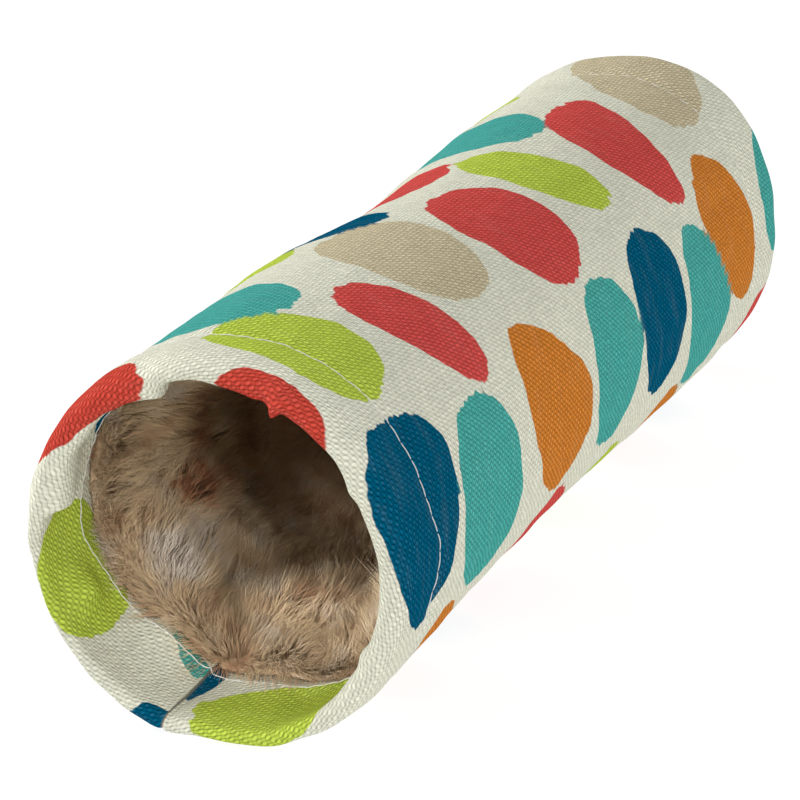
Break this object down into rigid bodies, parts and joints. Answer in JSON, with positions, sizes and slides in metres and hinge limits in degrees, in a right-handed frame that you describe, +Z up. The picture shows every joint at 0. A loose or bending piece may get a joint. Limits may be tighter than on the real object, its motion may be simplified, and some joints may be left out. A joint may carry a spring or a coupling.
{
  "type": "cat tunnel",
  "caption": "Small tube-shaped cat tunnel of printed canvas, its deep hems turned in at both open mouths, with a loose plush fur lining; lies on a floor.",
  "frame": {"origin": "on the floor, under the middle of the tunnel's length and width", "axes": "+Y along the tunnel from the mouth in front of the camera to the far one, +Z up"},
  "size_m": [0.1016, 0.3126, 0.1004],
  "materials": {
    "canvas": "matt plain-weave cream canvas with a petal print",
    "fur": "short soft beige pile",
    "thread": "off-white sewing thread"
  },
  "bodies": {
    "root": {"canvas_shell": "canvas", "fur_lining": "fur"}
  },
  "joints": []
}
